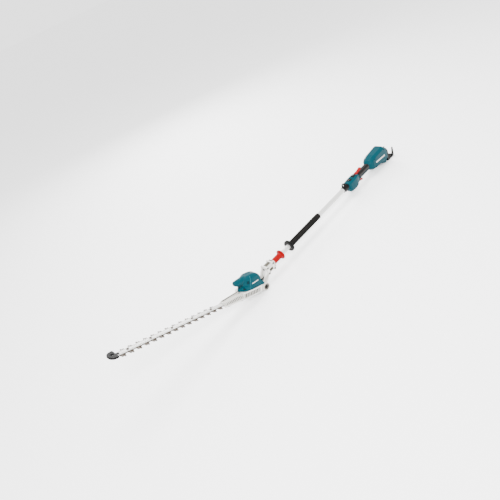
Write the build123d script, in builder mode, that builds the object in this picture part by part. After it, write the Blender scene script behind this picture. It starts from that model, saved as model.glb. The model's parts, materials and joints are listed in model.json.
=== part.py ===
"""Battery pole hedge trimmer: a tube pole with a cutting head that tilts about a bracket at its front.

The model is laid out with the pole along X (+X to the rear), +Z up and the pole's axis at z = 0.
The cutting head is laid out level, with its tilt pin at the origin, and is then tipped up by
HEAD_ANGLE about that pin. At the end everything moves so that the origin is the bottom centre.
"""
from build123d import *
from math import cos, radians, sin
import os

os.makedirs("parts", exist_ok=True)

# ---- driving dimensions, mm -------------------------------------------------------------
CLEAR = 0.5               # gap between pieces that move past each other
FIT = 0.05                # radial play of a pin or shaft in its hole

POLE_R = 12.0
POLE_WALL = 1.3
POLE_FRONT = 48.0
POLE_END = 806.0

PIVOT_DROP = 51.0         # tilt pin below the pole's axis
HEAD_ANGLE = 22.5         # how far the head is drawn tipped up
NOTCH_STEP = 22.5
NOTCHES_DOWN = 4          # notches below level on the index plate
PIN_R = 5.0
BOSS_R = 15.0
EAR_R = 19.0
EAR_IN = 17.6
EAR_OUT = 30.0
INDEX_R = 18.0
INDEX_HALF = 3.0

CLAMP_X = (44.0, 106.0)
CLAMP_HALF_H = 19.0
CLAMP_HALF_W = 20.0
SLEEVE_X = (100.0, 172.0)
SLEEVE_R = 13.8
FLANGE_R = 25.0
GUARD_X = (231.0, 244.0)
GUARD_R = 30.0
FOAM_X = (244.0, 489.0)
FOAM_R = 15.3
HANGER_X = (719.0, 761.0)
EYE_AT = (733.0, 21.5)
EYE_R = 7.0
EYE_OUT = 13.0

BLADE_Z = -5.6            # plane between the two blades, below the tilt pin
PITCH = 500.0 / 15.0      # 500 mm of blade with 15 teeth a side
TEETH = 15
FIRST_TOOTH = -748.0
BLADE_T = 2.0
BLADE_GAP = 0.2
TOOTH_TIP = 27.0
BLADE_HALF = 10.0
STAGGER = 0.47 * PITCH
STROKE = 6.0              # each blade moves this far either way
BAR_HALF = 11.0
BAR_Z = (2.6, 5.8)        # above BLADE_Z
BOLT_R = 3.0
BOLT_STATIONS = [-715.0 + 3 * PITCH * n for n in range(5)]

CRANK_X = -102.0
GEAR_MODULE = 1.25
GEAR_TEETH = 34
PINION_TEETH = 10
GEAR_CENTRES = GEAR_MODULE * (GEAR_TEETH + PINION_TEETH) / 2
MOTOR_X = CRANK_X + GEAR_CENTRES
ECCENTRIC_R = 9.0
CASE_TOP = 27.0           # above BLADE_Z
CASE_FLOOR = -3.0
CAVITY_TOP = 20.0

WALL = 2.6
PLATE_X = 1130.0
PLATE_T = 14.0

parts = {}


def above_blade(height):
    """Height in the head's own layout of a point given above the blade plane."""
    return BLADE_Z + height


def slab(points, y_low, y_high, mode=Mode.ADD):
    """Extrude a side-view outline (x, z) from y_low to y_high."""
    with BuildSketch(Plane.XZ.offset(-y_high)) as outline:
        Polygon(*points, align=None)
    extrude(outline.sketch, amount=y_high - y_low, mode=mode)


def side_pin(x, z, radius, y_low, y_high, mode=Mode.ADD):
    """A cylinder across the tool, along Y."""
    with BuildSketch(Plane.XZ.offset(-y_high)) as disc:
        with Locations((x, z)):
            Circle(radius)
    extrude(disc.sketch, amount=y_high - y_low, mode=mode)


def upright(x, y, radius, z_low, z_high, mode=Mode.ADD):
    """A cylinder along Z."""
    with BuildSketch(Plane.XY.offset(z_low)) as disc:
        with Locations((x, y)):
            Circle(radius)
    extrude(disc.sketch, amount=z_high - z_low, mode=mode)


def along(x_low, x_high, radius, mode=Mode.ADD):
    """A cylinder along the pole."""
    with BuildSketch(Plane.YZ.offset(x_low)) as disc:
        Circle(radius)
    extrude(disc.sketch, amount=x_high - x_low, mode=mode)


def block(x, y, z, mode=Mode.ADD):
    """A box given by its low and high ends along X, Y and Z."""
    with BuildSketch(Plane.XY.offset(z[0])) as base:
        with Locations(((x[0] + x[1]) / 2, (y[0] + y[1]) / 2)):
            Rectangle(x[1] - x[0], y[1] - y[0])
    extrude(base.sketch, amount=z[1] - z[0], mode=mode)


def plan(points, z_low, z_high, mode=Mode.ADD, radius=0.0):
    """Extrude a plan outline (x, y) from z_low to z_high, with its corners rounded."""
    with BuildSketch(Plane.XY.offset(z_low)) as outline:
        Polygon(*points, align=None)
        if radius:
            fillet(outline.vertices(), radius)
    extrude(outline.sketch, amount=z_high - z_low, mode=mode)


def mirrored(half):
    """A plan outline from its +y half, listed front to back."""
    return [(x, -y) for x, y in half] + [(x, y) for x, y in reversed(half)]


def head_place():
    """The head's layout frame: at the tilt pin, tipped up by HEAD_ANGLE."""
    turn = radians(HEAD_ANGLE)
    return Plane(
        origin=(0, 0, -PIVOT_DROP),
        x_dir=(cos(turn), 0, -sin(turn)),
        z_dir=(sin(turn), 0, cos(turn)),
    )


def keep(name, part, on_head=False):
    """Note a finished piece under its node name, with the head's pieces tipped into place."""
    parts[name] = head_place().location * part if on_head else part


# ---- pole, clamp bracket and tilt joint --------------------------------------------------
def pole_tube():
    with BuildPart() as tube:
        along(POLE_FRONT, POLE_END, POLE_R)
        along(POLE_FRONT, POLE_END, POLE_R - POLE_WALL, mode=Mode.SUBTRACT)
    keep("pole_tube", tube.part)


def pole_cable():
    with BuildPart() as cable:
        along(POLE_FRONT + 4, POLE_END + 10, 4.0)
    keep("pole_cable", cable.part)


ARM_CHEEK = [(52, 13), (42, 12), (29, -1.5), (17, -21), (2, -36.2), (12.5, -59.5), (28, -41), (50, -20),
             (52, -17)]
ARM_WEB = [(52, 4), (40, 0), (27, -15), (20, -27), (8, -39), (12.5, -58), (26, -41), (48, -20), (52, -17)]
LATCH = [(18.6, -52.5), (21.5, -52.5), (24.5, -44.5), (42, -16.6), (100, -16.6), (100, -12.9), (38.5, -12.9),
         (21, -42), (18.8, -49.5)]
LATCH_SLOT = [(16, -56), (28.5, -56), (32, -44.5), (50, -17.3), (128, -17.3), (128, -11.8), (36.5, -11.8),
              (18.5, -41), (16.5, -47)]
SCREW_SPOTS = [(x, z, end) for x in (52.0, 92.0) for z, end in ((-15.6, -3.8), (15.6, 14.0))]


def bracket_half(name, side):
    """One half of the split clamp with its cheek of the arm; side is +1 or -1 in y."""
    def span(low, high):
        return (low, high) if side > 0 else (-high, -low)

    with BuildPart() as half:
        with BuildSketch(Plane.YZ.offset(CLAMP_X[0])) as section:
            RectangleRounded(2 * CLAMP_HALF_W, 2 * CLAMP_HALF_H, 9)
        extrude(section.sketch, amount=CLAMP_X[1] - CLAMP_X[0])
        fillet(half.faces().filter_by(Axis.X).edges(), 2.0)
        slab(ARM_CHEEK, *span(9.0, 17.0))
        slab(ARM_WEB, *span(0.0, 9.5))
        side_pin(0, -PIVOT_DROP, BOSS_R, *span(INDEX_HALF + 0.6, 17.0))
        for x, z, _ in SCREW_SPOTS:
            side_pin(x, z, 5.5, *span(0.0, 21.5))
        if side > 0:
            block((-60, 200), (-60, 0), (-120, 60), mode=Mode.SUBTRACT)
        else:
            block((-60, 200), (0, 60), (-120, 60), mode=Mode.SUBTRACT)
        along(CLAMP_X[0] - 1, CLAMP_X[1] + 1, POLE_R, mode=Mode.SUBTRACT)
        along(SLEEVE_X[0] - 2, CLAMP_X[1] + 1, SLEEVE_R + CLEAR, mode=Mode.SUBTRACT)
        slab(LATCH_SLOT, -3.2, 3.2, mode=Mode.SUBTRACT)
        side_pin(0, -PIVOT_DROP, INDEX_R + 0.6, -INDEX_HALF - 0.6, INDEX_HALF + 0.6, mode=Mode.SUBTRACT)
        side_pin(0, -PIVOT_DROP, PIN_R + FIT, -40, 40, mode=Mode.SUBTRACT)
        for x, z, end in SCREW_SPOTS:
            side_pin(x, z, 2.5, -30, end + 0.6, mode=Mode.SUBTRACT)
            side_pin(x, z, 3.7, -30, -18.0, mode=Mode.SUBTRACT)
        # shallow panels sunk into the flat sides, between the screw posts
        slab([(60, -13), (84, -13), (84, 4), (60, 4)], *span(CLAMP_HALF_W - 1.5, 40), mode=Mode.SUBTRACT)
    keep(name, half.part)


def bracket_screws():
    for number, (x, z, end) in enumerate(SCREW_SPOTS, start=1):
        with BuildPart() as screw:
            side_pin(x, z, 2.5, -18.0, end)
            side_pin(x, z, 3.7, -21.0, -18.0)
            side_pin(x, z, 1.6, -21.0, -19.4, mode=Mode.SUBTRACT)
        keep(f"bracket_screw_{number}", screw.part)


def pivot_bolt():
    with BuildPart() as bolt:
        side_pin(0, -PIVOT_DROP, PIN_R, -EAR_OUT + 3, EAR_OUT + 0.4)
        side_pin(0, -PIVOT_DROP, 9.0, -EAR_OUT + 1.0, -EAR_OUT + 5.2)
        side_pin(0, -PIVOT_DROP, 4.2, -EAR_OUT - 0.5, -EAR_OUT + 3.5, mode=Mode.SUBTRACT)
    keep("pivot_bolt", bolt.part)


def pivot_nut():
    with BuildPart() as nut:
        with BuildSketch(Plane.XZ.offset(-(EAR_OUT + 5.4))) as hexagon:
            with Locations((0, -PIVOT_DROP)):
                RegularPolygon(9.0, 6)
        extrude(hexagon.sketch, amount=5.0)
    keep("pivot_nut", nut.part)


# ---- lock sleeve, hand guard, foam grip, hanger --------------------------------------------
def lock_sleeve():
    with BuildPart() as sleeve:
        with BuildSketch(Plane.XZ) as profile:
            with BuildLine():
                Polyline(
                    (SLEEVE_X[0], POLE_R + 0.4), (SLEEVE_X[0], SLEEVE_R), (SLEEVE_X[1] - 14, SLEEVE_R),
                    (SLEEVE_X[1] - 8, SLEEVE_R + 2), (SLEEVE_X[1] - 7, FLANGE_R - 1.5),
                    (SLEEVE_X[1] - 5.5, FLANGE_R), (SLEEVE_X[1] - 1.5, FLANGE_R),
                    (SLEEVE_X[1], FLANGE_R - 1.5), (SLEEVE_X[1], POLE_R + 0.4), close=True,
                )
            make_face()
        revolve(profile.sketch, axis=Axis.X)
    keep("lock_sleeve", sleeve.part)


def latch_bar():
    with BuildPart() as bar:
        slab(LATCH, -2.5, 2.5)
    keep("latch_bar", bar.part)


def hand_guard():
    with BuildPart() as guard:
        along(GUARD_X[0], GUARD_X[1], GUARD_R)
        fillet(guard.edges().filter_by(GeomType.CIRCLE), 4.6)
        along(GUARD_X[0] - 1, GUARD_X[1] + 1, POLE_R, mode=Mode.SUBTRACT)
    keep("hand_guard", guard.part)


def foam_grip():
    with BuildPart() as foam:
        along(FOAM_X[0], FOAM_X[1], FOAM_R)
        fillet(foam.edges().filter_by(GeomType.CIRCLE).sort_by(Axis.X)[-1], 2.8)
        along(FOAM_X[0] - 1, FOAM_X[1] + 1, POLE_R, mode=Mode.SUBTRACT)
    keep("foam_grip", foam.part)


def hanger_clamp():
    with BuildPart() as hanger:
        along(HANGER_X[0], HANGER_X[1], 15.0)
        fillet(hanger.edges().filter_by(GeomType.CIRCLE), 1.2)
        slab([(722, 8), (744, 8), (748, 14), (EYE_AT[0] + 12, 24), (EYE_AT[0] - 12, 24)], -3.5, 3.5)
        side_pin(EYE_AT[0], EYE_AT[1], EYE_OUT, -3.5, 3.5)
        block((738, 756), (-6, 6), (-21, -10))
        along(HANGER_X[0] - 1, HANGER_X[1] + 1, POLE_R, mode=Mode.SUBTRACT)
        side_pin(EYE_AT[0], EYE_AT[1], EYE_R, -8, 8, mode=Mode.SUBTRACT)
        side_pin(747, -16.8, 1.6, -10, 10, mode=Mode.SUBTRACT)
    keep("hanger_clamp", hanger.part)


def hanger_screw():
    with BuildPart() as screw:
        side_pin(747, -16.8, 1.6, -6.0, 6.0)
        side_pin(747, -16.8, 3.0, -8.5, -6.0)
    keep("hanger_screw", screw.part)


# ---- handle housing: control end, handle and battery end in two shells -----------------------
# station: x, top z, bottom z, half width, half width of the flat top, of the bottom, corner radius
HOUSING = [
    (761, 17, -21, 17, 9, 8, 4), (765, 19, -34, 21, 10, 10, 4), (774, 20.5, -44, 23.5, 10, 11, 4),
    (800, 22.5, -47, 24.5, 10, 12, 4), (826, 24, -45, 24, 10, 12, 4), (843, 23, -32, 21, 10, 11, 4),
    (854, 17, -23, 17, 9, 9, 4), (862, 12.5, -22, 16, 8, 8, 4), (964, 12.5, -22, 16, 8, 8, 4),
    (969, 17, -27, 21, 10, 10, 5), (977, 25, -33, 27, 12, 13, 6), (992, 32, -40, 32, 15, 18, 6),
    (1020, 37, -43.5, 34, 18, 22, 6), (1107, 43, -46, 35, 20, 24, 6), (1122, 31, -49, 34.5, 19, 24, 6),
    (1130, 23, -49.5, 33.8, 18.5, 23.5, 5),
]
HOUSING_SCREWS = [(800.0, -33.0, 22.0), (1006.0, 18.0, 31.0), (1010.0, -30.0, 29.0), (1100.0, 26.0, 30.0)]
BUTTONS = {"power_button": (779.0, 792.0), "mode_button": (822.0, 836.0)}
PANEL_HALF = 8.5


def ring_section(station, shrink):
    x, top, bottom, half, top_half, bottom_half, radius = station
    top, bottom, half = top - shrink, bottom + shrink, half - shrink
    shoulder = top - 0.62 * (half - top_half)
    hip = bottom + 0.75 * (half - bottom_half)
    outline = [(bottom_half, bottom), (half, hip), (half, shoulder), (top_half, top)]
    with BuildSketch(Plane.YZ.offset(x)) as section:
        Polygon(*outline, *[(-y, z) for y, z in reversed(outline)], align=None)
        fillet(section.vertices(), max(radius - shrink * 0.6, 1.0))
    return section.sketch


def housing_body(shrink, low, high):
    """The whole housing as one solid through its stations from x = low to x = high."""
    with BuildPart(mode=Mode.PRIVATE) as body:
        rings = [ring_section(station, shrink) for station in HOUSING if low <= station[0] <= high]
        loft(rings, ruled=True)
    return body.part


def housing_cavity():
    """The hollow inside, with posts left standing across it for the screws."""
    with BuildPart(mode=Mode.PRIVATE) as cavity:
        add(housing_body(WALL, 765, 1122))
        for x, z, _ in HOUSING_SCREWS:
            side_pin(x, z, 5.5, -40, 40, mode=Mode.SUBTRACT)
    return cavity.part


def housing_shells():
    """The housing is cut open, fitted out, and then split into its two shells at y = 0."""
    with BuildPart() as whole:
        add(housing_body(0.0, 761, 1130))
        slab([(1068, -43), (1110, -65), (1119, -66), (1124, -58), (1130, -58), (1130, -43)], -26, 26)
        add(housing_cavity(), mode=Mode.SUBTRACT)
        slab([(850, -22), (872, -21), (869, -33), (858, -33)], -11, -7)
        slab([(850, -22), (872, -21), (869, -33), (858, -33)], 7, 11)
        along(755, 770, POLE_R, mode=Mode.SUBTRACT)
        block((776, 840), (-PANEL_HALF, PANEL_HALF), (17.5, 40), mode=Mode.SUBTRACT)
        block((843, 866), (-8.6, 8.6), (11.0, 40), mode=Mode.SUBTRACT)
        side_pin(851, 15.0, 2.0 + FIT, -12, 12, mode=Mode.SUBTRACT)
        side_pin(864, -28.0, 2.0 + FIT, -11.5, 11.5, mode=Mode.SUBTRACT)
        for x, z, reach in HOUSING_SCREWS:
            side_pin(x, z, 2.2, -40, reach - 7.0, mode=Mode.SUBTRACT)
            side_pin(x, z, 3.9, -40, -reach + 5.0, mode=Mode.SUBTRACT)
    for name, other_side in (("housing_left", (-60, 0)), ("housing_right", (0, 60))):
        with BuildPart() as half:
            add(whole.part)
            block((700, 1200), other_side, (-90, 60), mode=Mode.SUBTRACT)
        keep(name, half.part)


def housing_screws():
    for number, (x, z, reach) in enumerate(HOUSING_SCREWS, start=1):
        with BuildPart() as screw:
            side_pin(x, z, 2.2, -reach + 5.0, reach - 8.0)
            side_pin(x, z, 3.9, -reach + 2.0, -reach + 5.0)
            side_pin(x, z, 1.7, -reach + 1.0, -reach + 3.4, mode=Mode.SUBTRACT)
        keep(f"housing_screw_{number}", screw.part)


def handle_rubber(name, z_low, z_high):
    """A rubber layer on the handle between two heights."""
    with BuildPart() as rubber:
        add(housing_body(-1.6, 862, 964))
        add(housing_body(0.0, 854, 969), mode=Mode.SUBTRACT)
        block((850, 980), (-40, 40), (-60, z_low), mode=Mode.SUBTRACT)
        block((850, 980), (-40, 40), (z_high, 60), mode=Mode.SUBTRACT)
        block((850, 868), (-9.6, 9.6), (8, 60), mode=Mode.SUBTRACT)
        block((850, 873), (-40, 40), (-60, -18), mode=Mode.SUBTRACT)
    keep(name, rubber.part)


def control_panel():
    with BuildPart() as panel:
        slab([(776, 17.5), (840, 17.5), (840, 24.2), (826, 25.0), (776, 21.6)], -PANEL_HALF, PANEL_HALF)
        for low, high in BUTTONS.values():
            block((low - CLEAR, high + CLEAR), (-5.5 - CLEAR, 5.5 + CLEAR), (19.0, 40), mode=Mode.SUBTRACT)
    keep("control_panel", panel.part)


def buttons():
    for name, (low, high) in BUTTONS.items():
        with BuildPart() as button:
            top = 23.6 if low < 800 else 26.3
            block((low, high), (-5.5, 5.5), (20.8, top))
            fillet(button.edges().filter_by(Axis.Z), 2.0)
            fillet(button.faces().sort_by(Axis.Z)[-1].edges(), 0.8)
        keep(name, button.part)


def trigger():
    with BuildPart() as piece:
        slab([(861, -31), (861, -25), (868, -24.5), (897, -33.5), (900.5, -39), (897, -45), (884, -41),
              (868, -35)], -6.4, 6.4)
        fillet(piece.edges().filter_by(Axis.Y).sort_by(Axis.X)[-3:], 1.6)
        side_pin(864, -28.0, 2.0, -10.8, 10.8)
    keep("trigger", piece.part)


def lock_off_lever():
    with BuildPart() as piece:
        slab([(847, 12.5), (851, 11.8), (857, 13.5), (872, 17.5), (901, 22.8), (904, 30), (898, 31),
              (870, 23.5), (847, 24.5), (845.5, 18)], -6.8, 6.8)
        side_pin(851, 15.0, 2.0, -11.7, 11.7)
    keep("lock_off_lever", piece.part)


def switch_unit():
    with BuildPart() as unit:
        block((880, 930), (-9, 9), (-15, 5))
        fillet(unit.edges().filter_by(Axis.Z), 2)
    keep("switch_unit", unit.part)


def controller():
    with BuildPart() as unit:
        block((1024, 1092), (-24, 24), (-22, 10))
        for n in range(6):
            block((1030 + 10 * n, 1034 + 10 * n), (-24, 24), (7, 11), mode=Mode.SUBTRACT)
    keep("controller", unit.part)


def battery_plate():
    rear = PLATE_X + PLATE_T
    with BuildPart() as plate:
        slab([(PLATE_X, -60), (rear, -60), (rear, -10), (rear - 5, 6), (PLATE_X, 20)], -32, 32)
        fillet(plate.edges().filter_by(Axis.X), 5.0)
        for side in (-1, 1):
            inner, outer = sorted((side * 17.0, side * 24.0))
            block((rear, rear + 7), (inner, outer), (-56, -10))
            lip = sorted((side * 17.0, side * 20.5))
            block((rear, rear + 3.5), tuple(lip), (-56, -10), mode=Mode.SUBTRACT)
    keep("battery_plate", plate.part)


def battery_terminals():
    rear = PLATE_X + PLATE_T
    with BuildPart() as terminals:
        block((rear, rear + 4), (-13, 13), (-34, -12))
        for y in (-8.0, 0.0, 8.0):
            block((rear + 4, rear + 9), (y - 0.5, y + 0.5), (-31, -15))
    keep("battery_terminals", terminals.part)


def rear_guard():
    with BuildPart() as guard:
        plan([(1134, -27), (1150, -30), (1200, -30), (1200, 30), (1150, 30), (1134, 27)], -67, -60, radius=3)
        for low, high in ((-30, -23), (23, 30)):
            slab([(1180, -62), (1196, -66.5), (1201, -60), (1201, -52), (1200, -14), (1195.5, -14),
                  (1190, -42), (1180, -58)], low, high)
    keep("rear_guard", guard.part)


# ---- cutting head: castings ----------------------------------------------------------------
NOSE_X = (-250.0, -146.0)
CASE_HALF_PLAN = [(-146, 29.5), (-128, 33), (-60, 34), (-34, 31)]
CASE_SCREWS = [(x, side * y) for x, y in ((-231.0, 21.0), (-156.0, 26.5), (-83.0, 30.0)) for side in (-1, 1)]
MOTOR_SCREWS = [(-134.0, -21.0), (-134.0, 21.0)]


def nose_section(x, flange, shoulder, spine, top):
    with BuildSketch(Plane.YZ.offset(x)) as section:
        half = [(flange, above_blade(CASE_FLOOR)), (flange, above_blade(0.5)),
                (shoulder, above_blade(2.0)), (spine, above_blade(top)), ]
        Polygon(*half, *[(-y, z) for y, z in reversed(half)], align=None)
    return section.sketch


def nose_cover():
    with BuildPart() as nose:
        loft([nose_section(NOSE_X[0], 24.0, 19.0, 12.0, 12.5), nose_section(NOSE_X[1], 29.5, 27.0, 15.0, 22.0)],
             ruled=True)
        spine = [(NOSE_X[0] + 6, above_blade(30)), (NOSE_X[0] + 6, above_blade(11.6)),
                 (NOSE_X[1] - 8, above_blade(19.6)), (NOSE_X[1] - 8, above_blade(30))]
        slab(spine, -8.5, 8.5, mode=Mode.SUBTRACT)
        block((NOSE_X[0] - 1, NOSE_X[1] + 1), (-11.5, 11.5), (-30, above_blade(BAR_Z[1])), mode=Mode.SUBTRACT)
        for x, y in CASE_SCREWS[:4]:
            upright(x, y, 1.8, -30, above_blade(0.0), mode=Mode.SUBTRACT)
    keep("nose_cover", nose.part, on_head=True)


def gear_case():
    floor = above_blade(CASE_FLOOR)
    top = above_blade(CASE_TOP)
    with BuildPart() as case:
        plan(mirrored(CASE_HALF_PLAN), floor, top)
        slab([(-150, top + 1), (-150, above_blade(22)), (-142, top), (-142, top + 1)], -40, 40,
             mode=Mode.SUBTRACT)
        for low, high in ((EAR_IN, EAR_OUT), (-EAR_OUT, -EAR_IN)):
            side_pin(0, 0, EAR_R, low, high)
            slab([(-60, floor), (-60, top), (-34, top), (5, 18.3), (5, -18.3), (-34, floor)], low, high)
        block((-36, -22), (-EAR_IN - 1, EAR_IN + 1), (floor, 17))
        # crank chamber, blade channel, bearing seats
        block((-131, -64), (-25, 25), (floor - 1, above_blade(CAVITY_TOP)), mode=Mode.SUBTRACT)
        block((-150, -130), (-11.5, 11.5), (floor - 1, above_blade(BAR_Z[1])), mode=Mode.SUBTRACT)
        block((-136, -130), (-21, 21), (floor - 1, above_blade(BAR_Z[0])), mode=Mode.SUBTRACT)
        upright(MOTOR_X, 0, 11.0, 0, top + 1, mode=Mode.SUBTRACT)
        upright(CRANK_X, 0, 5.0 + FIT, 0, above_blade(24.5), mode=Mode.SUBTRACT)
        side_pin(0, 0, PIN_R + FIT, -40, 40, mode=Mode.SUBTRACT)
        side_pin(0, 0, 11.5, -EAR_OUT - 1, -EAR_OUT + 5.6, mode=Mode.SUBTRACT)
        block((-30, -15), (-INDEX_HALF, INDEX_HALF), (-8, 12), mode=Mode.SUBTRACT)
        for x, y in CASE_SCREWS[4:]:
            upright(x, y, 1.8, -30, above_blade(0.0), mode=Mode.SUBTRACT)
        for x, y in MOTOR_SCREWS:
            upright(x, y, 1.8, above_blade(15), top + 1, mode=Mode.SUBTRACT)
    keep("gear_case", case.part, on_head=True)


def bottom_cover():
    top = above_blade(CASE_FLOOR)
    outline = mirrored([(-250, 24), (-146, 29.5), (-128, 33), (-60, 34), (-44, 32)])
    with BuildPart() as cover:
        plan(outline, top - 2.5, top)
        plan(mirrored([(-240, 12), (-156, 15), (-142, 24), (-128, 29), (-96, 29), (-76, 22)]), top - 6.5,
             top - 2.5, radius=4)
        upright(CRANK_X, 0, 5.0 + FIT, top - 3.5, top + 1, mode=Mode.SUBTRACT)
        for x, y in CASE_SCREWS:
            upright(x, y, 1.8, -30, top + 1, mode=Mode.SUBTRACT)
    keep("bottom_cover", cover.part, on_head=True)


def case_screws():
    top = above_blade(CASE_FLOOR) - 2.5
    for number, (x, y) in enumerate(CASE_SCREWS, start=1):
        with BuildPart() as screw:
            upright(x, y, 1.8, top, above_blade(0.0))
            upright(x, y, 3.4, top - 2.6, top)
        keep(f"case_screw_{number}", screw.part, on_head=True)


def index_plate():
    """Notched steel plate fixed in the head, between the halves of the arm."""
    with BuildPart() as plate:
        side_pin(0, 0, INDEX_R, -INDEX_HALF, INDEX_HALF)
        slab([(-30, -8), (-30, 12), (-8, 12), (-8, -8)], -INDEX_HALF, INDEX_HALF)
        side_pin(0, 0, PIN_R + FIT, -40, 40, mode=Mode.SUBTRACT)
        for step in range(-1, NOTCHES_DOWN + 1):
            angle = radians(HEAD_ANGLE - NOTCH_STEP * step)
            middle = (INDEX_R * cos(angle), INDEX_R * sin(angle))
            side_pin(middle[0], middle[1], 2.2, -10, 10, mode=Mode.SUBTRACT)
    keep("index_plate", plate.part, on_head=True)


# ---- cutting head: motor housing -------------------------------------------------------------
# station: x, top above the blade plane, half width, top corner radius
MOTOR_STATIONS = [
    (-26, 58, 24, 12), (-32, 72, 29, 15), (-46, 87, 32.5, 18), (-72, 94.5, 34, 20), (-100, 94, 33, 18),
    (-112, 92.5, 28.5, 15), (-124, 89, 22, 12), (-134, 84, 17.5, 10),
]


# the chin under the front grip, in the same terms
CHIN_STATIONS = [
    (-152, 37, 7, 2), (-147, 41, 12, 4), (-140, 45.5, 19, 6), (-132, 50, 26.5, 8), (-116, 50, 32, 8),
    (-104, 48, 33, 8),
]


def motor_section(station, shrink):
    x, top, half, radius = station
    low = above_blade(CASE_TOP)
    high = above_blade(top - shrink)
    half = half - shrink
    with BuildSketch(Plane.YZ.offset(x)) as section:
        Polygon((-half, low), (half, low), (half - 4, high), (-half + 4, high), align=None)
        fillet(section.vertices().group_by(Axis.Y)[-1], radius - shrink * 0.5)
        fillet(section.vertices().group_by(Axis.Y)[0], 1.5)
    return section.sketch


def motor_solid(shrink):
    stations = MOTOR_STATIONS[1:-1] if shrink else MOTOR_STATIONS
    with BuildPart(mode=Mode.PRIVATE) as body:
        loft([motor_section(station, shrink) for station in stations], ruled=False)
    return body.part


def nose_grip():
    """The rounded front grip of the motor housing, as a loft of ellipses."""
    rings = [(-106, 73, 19, 18), (-136, 73.5, 17.5, 16.5), (-156, 71, 16.5, 15.5), (-170, 72, 13, 12.5),
             (-178.5, 74.5, 6, 6)]
    with BuildPart(mode=Mode.PRIVATE) as grip:
        sections = []
        for x, z, half_y, half_z in rings:
            with BuildSketch(Plane.YZ.offset(x)) as ring:
                with Locations((0, above_blade(z))):
                    Ellipse(half_y, half_z)
            sections.append(ring.sketch)
        loft(sections)
    return grip.part


def motor_half(name, side):
    with BuildPart() as half:
        add(motor_solid(0.0))
        add(nose_grip())
        loft([motor_section(station, 0.0) for station in CHIN_STATIONS], ruled=True)
        for low, high in ((-30.5, -18.4), (18.4, 30.5)):
            slab([(-42, above_blade(CASE_TOP)), (-14, above_blade(CASE_TOP)), (-15, above_blade(33)),
                  (-24, above_blade(46)), (-42, above_blade(58))], low, high)
        add(motor_solid(WALL + 0.6), mode=Mode.SUBTRACT)
        block((-112, -50), (-26, 26), (above_blade(CASE_TOP) - 1, above_blade(CASE_TOP) + 4), mode=Mode.SUBTRACT)
        for x, y in MOTOR_SCREWS:
            upright(x, y, 1.8, above_blade(CASE_TOP) - 1, above_blade(60), mode=Mode.SUBTRACT)
            upright(x, y, 3.6, above_blade(37), above_blade(50), mode=Mode.SUBTRACT)
        for x in (-84.0, -72.0):
            block((x, x + 8), (-40, 40), (above_blade(30), above_blade(34)), mode=Mode.SUBTRACT)
        keep_side = (-60, 0) if side > 0 else (0, 60)
        block((-220, 40), keep_side, (-20, 140), mode=Mode.SUBTRACT)
    keep(name, half.part, on_head=True)


def motor_screws():
    for number, (x, y) in enumerate(MOTOR_SCREWS, start=1):
        with BuildPart() as screw:
            upright(x, y, 1.8, above_blade(17), above_blade(37))
            upright(x, y, 3.6, above_blade(37), above_blade(39.5))
        keep(f"motor_screw_{number}", screw.part, on_head=True)


def cable_boot():
    with BuildPart() as boot:
        with BuildSketch(Plane.YZ.offset(-24.5)) as ring:
            with Locations((0, above_blade(35))):
                Circle(6.0)
        extrude(ring.sketch, amount=17.0, taper=5)
    keep("cable_boot", boot.part, on_head=True)


def stator():
    with BuildPart() as ring:
        upright(MOTOR_X, 0, 23.0, above_blade(38), above_blade(66))
        upright(MOTOR_X, 0, 14.6, 0, above_blade(80), mode=Mode.SUBTRACT)
        with BuildSketch(Plane.XY.offset(above_blade(32))) as feet:
            with Locations((MOTOR_X, 0)):
                with PolarLocations(20.5, 4, start_angle=45):
                    Circle(2.2)
        extrude(feet.sketch, amount=7.0)
    keep("stator", ring.part, on_head=True)


def bearing(name, outer, low, high):
    with BuildPart() as ring:
        upright(MOTOR_X, 0, outer, above_blade(low), above_blade(high))
        upright(MOTOR_X, 0, 4.0 + FIT, 0, 120, mode=Mode.SUBTRACT)
    keep(name, ring.part, on_head=True)


# ---- moving drive pieces ---------------------------------------------------------------------
def toothed_disc(centre, teeth, z_low, z_high, phase):
    """A spur gear with low, slim teeth, so that it runs with play."""
    pitch_radius = GEAR_MODULE * teeth / 2
    root = pitch_radius - 1.1
    with BuildSketch(Plane.XY.offset(z_low)) as wheel:
        with Locations((centre, 0)):
            Circle(root)
            with PolarLocations(0, teeth, start_angle=phase):
                Polygon((root - 0.6, -0.95), (root - 0.6, 0.95), (pitch_radius + 0.7, 0.45),
                        (pitch_radius + 0.7, -0.45), align=None)
    extrude(wheel.sketch, amount=z_high - z_low)


def rotor():
    with BuildPart() as turning:
        upright(MOTOR_X, 0, 13.8, above_blade(40), above_blade(64))
        upright(MOTOR_X, 0, 4.0, above_blade(8), above_blade(73))
        toothed_disc(MOTOR_X, PINION_TEETH, above_blade(8), above_blade(15), 0)
    keep("rotor", turning.part, on_head=True)


def crank():
    with BuildPart() as turning:
        toothed_disc(CRANK_X, GEAR_TEETH, above_blade(9), above_blade(14), 180.0 / GEAR_TEETH)
        upright(CRANK_X, 0, 5.0, above_blade(-5.8), above_blade(24))
        upright(CRANK_X + STROKE, 0, ECCENTRIC_R, above_blade(BLADE_GAP), above_blade(3.0))
        upright(CRANK_X - STROKE, 0, ECCENTRIC_R, above_blade(-2.4), above_blade(-BLADE_GAP + 0.1))
    keep("crank", turning.part, on_head=True)


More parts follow.
